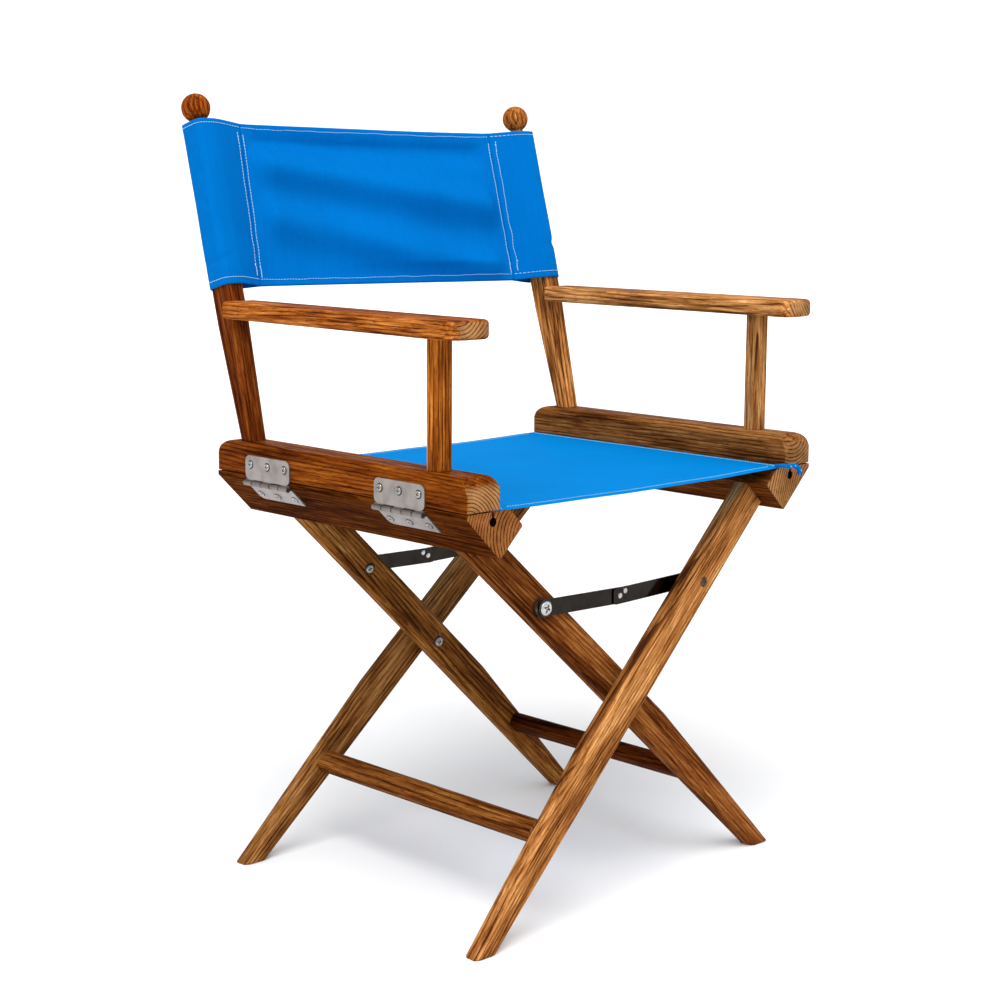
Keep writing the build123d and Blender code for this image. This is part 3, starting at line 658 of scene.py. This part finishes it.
def seat_height(x, y):
    """Upper face of the seat cloth: flat over the rails, then a shallow sag between them."""
    slack = max(0.0, 1 - (x / bend_x) ** 2)
    ripple = noise.noise(Vector((x * 9, y * 5, 1.7))) * 0.0012
    return cloth_top - slack * (0.0022 + ripple)


def hem(y):
    """How much thicker the cloth is at the turned hems, front and back."""
    cloth, extra, width, step = 0.0006, 0.0007, 0.013, 0.0015
    edge = half_seat - abs(y - chair_y)
    return cloth + extra * (1 - min(1.0, max(0.0, (edge - width) / step)))


seat_blue = canvas("seat_canvas", 0, (0.0, 0.225, 0.64))
hem_row, rail_row, thread_lift = 0.0085, 0.2165, 0.0001
pitch, hem_dash, rail_dash, seam_dash = 0.0036, 0.0016, 0.0023, 0.0029


def crumpled_tail():
    """The loose end of the hem, twisted and drooping over the groove's mouth at the front."""
    knots = [Vector(spot) for spot in (
        (0.2085, -0.2320, 0.4560), (0.2110, -0.2405, 0.4565), (0.2155, -0.2462, 0.4560),
        (0.2225, -0.2468, 0.4562), (0.2290, -0.2462, 0.4545), (0.2335, -0.2466, 0.4500),
        (0.2340, -0.2475, 0.4455))]
    rows, around, radius, flatten = 60, 36, 0.0023, 0.8
    tail = bmesh.new()
    rings = []
    for row in range(rows + 1):
        place = row / rows * (len(knots) - 1)
        index = min(int(place), len(knots) - 2)
        rest = place - index
        before, first, second, beyond = [knots[min(max(index + step, 0), len(knots) - 1)]
                                         for step in (-1, 0, 1, 2)]
        middle = 0.5 * (2 * first + (second - before) * rest
                        + (2 * before - 5 * first + 4 * second - beyond) * rest ** 2
                        + (3 * first - before - 3 * second + beyond) * rest ** 3)
        along = (second - first).normalized()
        sideways = along.cross(Vector((0, 1, 0.3))).normalized()
        upward = sideways.cross(along)
        swell = radius * (0.45 if row in (0, rows) else 1) * (0.9 + 0.35 * row / rows)
        ring = []
        for step, (across, up) in enumerate(circle(around)):
            twist = math.tau * step / around + row * 0.16
            crumple = 0.20 * math.sin(3 * twist) + 0.12 * math.sin(7 * twist + row * 0.3)
            width = swell * (1 + crumple)
            ring.append(tail.verts.new(middle + sideways * across * width
                                       + upward * up * width * flatten))
        rings.append(ring)
    for first, second in zip(rings, rings[1:]):
        bridge(tail, first, second)
    tail.faces.new(rings[0][::-1])
    tail.faces.new(rings[-1])
    cloth = shape("right_hem_tail", tail, canvas("tail_canvas", 0, (0.0, 0.15, 0.50)))
    loops = [(knots[index] + Vector((-0.001, -0.0028, 0.001)),
              knots[index] + Vector((0.0014, -0.0028, -0.001))) for index in (2, 3, 5)]
    knot = stitches("right_tail_stitching", loops, [Vector((0, -1, 0))] * len(loops))
    for piece in (cloth, knot):
        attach(piece, "outer_frame")
    return [cloth, knot]


for hand, side, body in (("left", -1, "inner_frame"), ("right", 1, "outer_frame")):
    def seat_top(u, v):
        x = side * groove_reach * u
        y = chair_y - half_seat + 2 * half_seat * v
        return (x, y, seat_height(x, y))

    def seat_under(u, v):
        x, y, z = seat_top(u, v)
        return (x, y, z - hem(y))

    half = grid_sheet("seat_canvas_" + hand, 60, 100, seat_top, seat_under, seat_blue, True)
    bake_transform(half)
    if side < 0:
        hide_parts("seat_sling")
    runs, faces_up = [], []
    for edge_y in (-1, 1):
        def seat_line(along, drift):
            x, y = side * along, chair_y + edge_y * (half_seat - hem_row) + drift
            return (x, y, seat_height(x, y) + thread_lift)
        spots, normals = dashes(seat_line, lambda at: (0, 0, 1), 0.001, 0.208,
                                pitch, hem_dash, 0.0004)
        runs += spots
        faces_up += normals

    def rail_line(along, drift):
        x = side * (rail_row + drift)
        return (x, along, seat_height(x, along) + thread_lift)
    for start, stop, wobble in ((-0.196, 0.194, 0.0004), (-0.1965, -0.180, 0.0022)):
        spots, normals = dashes(rail_line, lambda at: (0, 0, 1), chair_y + start, chair_y + stop,
                                pitch, rail_dash, wobble)
        runs += spots
        faces_up += normals
    seam = stitches("seat_stitching_" + hand, runs, faces_up)
    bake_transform(seam)
    sewn_on = [seam]
    if side > 0:
        sewn_on += crumpled_tail()


# ---- Hem cords ----
# A cord inside each side hem of the seat, cased in its canvas, is slid into the groove of the
# seat rail and holds the seat. It ends a little inside the groove's mouth at the front.
casing = canvas("casing_canvas", 0, (0.0, 0.12, 0.42))
cord_radius, cord_rows = 0.0037, 120
for hand, side, body in (("left", -1, "inner_frame"), ("right", 1, "outer_frame")):
    low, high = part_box(hand + "_hem_cord")
    middle_x = (low[0] + high[0]) / 2
    middle_z = (low[2] + high[2]) / 2
    near_end = max(low[1], chair_y - 0.196)
    tube = bmesh.new()
    rings = []
    for row in range(cord_rows + 1):
        y = near_end + (high[1] - near_end) * row / cord_rows
        reach = cord_radius * (0.75 if row in (0, cord_rows) else 1)
        rings.append([tube.verts.new((middle_x + reach * across, y, middle_z + reach * up))
                      for across, up in circle(40)])
    for first, second in zip(rings, rings[1:]):
        bridge(tube, first, second)
    tube.faces.new(rings[0][::-1])
    tube.faces.new(rings[-1])
    cord = shape(hand + "_cased_cord", tube, casing)
    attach(cord, body)
    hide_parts(hand + "_hem_cord")


# ---- Back sling ----
# A band of the same canvas with a sleeve at each end slipped over the back posts. The sleeves
# are closed by twin rows of white stitching, and the top and bottom edges are hemmed.
back_blue = canvas("back_canvas", -post_lean, (0.0, 0.158, 0.535))
back_origin = Vector((0, chair_y + 0.1635, 0.4885))
back_up = Vector(up_post)
back_rear = Vector((0, math.cos(post_lean), -math.sin(post_lean)))
back_low, back_high, seam_x = 0.166, 0.350, 0.191


def on_back(x, depth, height):
    """A point on the leaning back: across, behind the middle of the posts, along the post.

    The sling is slipped on a little askew, and the seam by the left post leans to it.
    """
    up = (height - back_low) / (back_high - back_low)
    across = (x + 0.26) / 0.52
    height += 0.0045 * (1 - across) - 0.0030 * across * (1 - up)
    from_seam = abs(x) - seam_x
    near_seam = max(0.0, 1 - from_seam / 0.045 if from_seam > 0 else 1 + from_seam / 0.10)
    if x < 0:
        x -= 0.0095 * (1 - up) * near_seam
    return back_origin + Vector((x, 0, 0)) + back_rear * depth + back_up * height


def edge_height(x, level):
    """Height along the post; the free edges rise a little between the posts."""
    dip = max(0.0, 1 - (x / seam_x) ** 2)
    middle = (level - back_low) / (back_high - back_low)
    return level + dip * (0.0006 * middle + 0.001 * (1 - middle))


def billow(x, level):
    """Depth of the panel: two slanting pull folds and a crest, over a slight hollow."""
    across = min(1.0, (seam_x - abs(x)) / 0.032)
    across = across * across * (3 - 2 * across)
    up = (level - back_low) / (back_high - back_low)
    calm = min(1.0, up / 0.12, (1 - up) / 0.10)
    fold = (-0.0165 * math.exp(-((level - 0.279 + 0.135 * x) / 0.023) ** 2)
            - 0.0140 * math.exp(-((level - 0.209 + 0.210 * x) / 0.025) ** 2)
            + 0.0075 * math.exp(-((level - 0.327 + 0.020 * x) / 0.015) ** 2))
    wave = 0.0016 * noise.noise(Vector((x * 6 + 4, level * 14, 0.5)))
    crest = 0.0012 * noise.noise(Vector((x * 22 + level * 30, level * 22, 2.5)))
    hollow = 0.004 * (1 - (x / seam_x) ** 2)
    return across * (calm * (fold + crest) + wave) + hollow


def panel_front(u, v):
    x = -seam_x + 2 * seam_x * u
    level = back_low + (back_high - back_low) * v
    near = max(0.0, 1 - (seam_x - abs(x)) / 0.014)
    return on_back(x, billow(x, level) - 0.0006 - 0.0014 * near * near, edge_height(x, level))


def panel_rear(u, v):
    x = -seam_x + 2 * seam_x * u
    level = back_low + (back_high - back_low) * v
    edge = min(level - back_low, back_high - level)
    thick = 0.0007 + 0.0010 * (1 - min(1.0, max(0.0, (edge - 0.009) / 0.002)))
    return on_back(x, billow(x, level) + thick, edge_height(x, level))


panel = grid_sheet("back_canvas", 150, 80, panel_front, panel_rear, back_blue)
panel_seams, panel_faces = [], []
for level in (back_high - 0.0050, back_low + 0.0072):
    def across_line(along, drift):
        start = panel_front((along + seam_x) / (2 * seam_x),
                            (level + drift - back_low) / (back_high - back_low))
        return start - back_rear * thread_lift
    spots, normals = dashes(across_line, lambda at: -back_rear, -seam_x + 0.001, seam_x + 0.001,
                            0.0038, 0.0023, 0.0009)
    panel_seams += spots
    panel_faces += normals
for side in (-1, 1):
    def inner_row(along, drift):
        start = panel_front((side * (seam_x - 0.0026 + drift) + seam_x) / (2 * seam_x),
                            (along - back_low) / (back_high - back_low))
        return start - back_rear * thread_lift
    for start, stop, wobble in ((back_low + 0.010, back_high - 0.011, 0.0008),
                                (back_low + 0.009, back_low + 0.024, 0.0030),
                                (back_high - 0.026, back_high - 0.012, 0.0022)):
        spots, normals = dashes(inner_row, lambda at: -back_rear, start, stop,
                                pitch, seam_dash, wobble)
        panel_seams += spots
        panel_faces += normals
panel_thread = stitches("back_stitching", panel_seams, panel_faces)
for piece in (panel, panel_thread):
    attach(piece, "left_arm")
    tuple(on_back(-seam_x, 0, 0.25))
    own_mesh(piece)
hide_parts("back_panel")

sleeve_middle, sleeve_lift = 0.2385, 0.0002
round_dash, round_pitch, seam_part = 0.0145, 0.0205, 0.028
sleeve_outline = [(0.1906, -0.0016), (0.2040, -0.0068), (0.2180, -0.0122), (0.2290, -0.0160),
                  (0.2360, -0.0178), (0.2450, -0.0184), (0.2530, -0.0178), (0.2570, -0.0156),
                  (0.2590, -0.0116), (0.2595, -0.0050), (0.2595, 0.0050), (0.2590, 0.0116),
                  (0.2570, 0.0156), (0.2530, 0.0178), (0.2450, 0.0184), (0.2360, 0.0178),
                  (0.2290, 0.0160), (0.2180, 0.0122), (0.2040, 0.0068), (0.1906, 0.0018)]


def sleeve_point(side, part, level):
    """A point round the sleeve, with small pull creases near the seam and the post."""
    place = part * (len(sleeve_outline) - 1)
    index = min(int(place), len(sleeve_outline) - 2)
    rest = place - index
    x = sleeve_outline[index][0] * (1 - rest) + sleeve_outline[index + 1][0] * rest
    depth = sleeve_outline[index][1] * (1 - rest) + sleeve_outline[index + 1][1] * rest
    slack = math.sin(math.pi * part) ** 2
    ripple = 0.0007 * noise.noise(Vector((x * 40 * side, level * 16, depth * 30)))
    crease_level = 0.200 + 0.30 * (x - 0.225) if side > 0 else 0.205 - 0.35 * (x - 0.225)
    crease = -0.0014 * math.exp(-((level - crease_level) / 0.0045) ** 2)
    crease *= 1 if part < 0.6 else 0.2
    grow = 1 + (ripple + crease * (1.0 if side > 0 else 0.6)) * slack / 0.017
    return on_back(side * (sleeve_middle + (x - sleeve_middle) * grow), depth * grow, level)


for hand, side in (("left", -1), ("right", 1)):
    sleeve_mesh = bmesh.new()
    around, upward = 72, 90
    rows = []
    for row in range(upward + 1):
        level = back_low + (back_high - back_low) * row / upward
        rows.append([sleeve_mesh.verts.new(sleeve_point(side, step / around, level))
                     for step in range(around + 1)])
    for below, above in zip(rows, rows[1:]):
        for step in range(around):
            corners = (below[step], below[step + 1], above[step + 1], above[step])
            sleeve_mesh.faces.new(corners if side > 0 else corners[::-1])
    sleeve = shape(hand + "_sleeve_canvas", sleeve_mesh, back_blue)
    body_of_cloth = sleeve.modifiers.new("cloth", "SOLIDIFY")
    body_of_cloth.thickness = 0.0009
    body_of_cloth.offset = -1
    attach(sleeve, hand + "_arm")
    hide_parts(hand + "_back_sleeve")
    rows_of_thread, thread_faces = [], []
    for level in (back_high - 0.0045, back_low + 0.0075):
        part = 0.01
        while part < 0.99:
            first = sleeve_point(side, part, level)
            second = sleeve_point(side, min(1.0, part + round_dash), level)
            out = (second - first).cross(back_up).normalized()
            if out.dot(first - on_back(side * sleeve_middle, 0, level)) < 0:
                out = -out
            rows_of_thread.append((first + out * sleeve_lift, second + out * sleeve_lift))
            thread_faces.append(out)
            part += round_pitch

    def outer_row(along, drift):
        return sleeve_point(side, seam_part + drift, along) - back_rear * sleeve_lift
    for start, stop, wobble in ((back_low + 0.012, back_high - 0.008, 0.006),
                                (back_low + 0.011, back_low + 0.027, 0.020),
                                (back_high - 0.024, back_high - 0.010, 0.014)):
        spots, normals = dashes(outer_row, lambda at: -back_rear, start, stop,
                                pitch, seam_dash, wobble)
        rows_of_thread += spots
        thread_faces += normals
    sleeve_thread = stitches(hand + "_sleeve_stitching", rows_of_thread, thread_faces)
    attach(sleeve_thread, hand + "_arm")
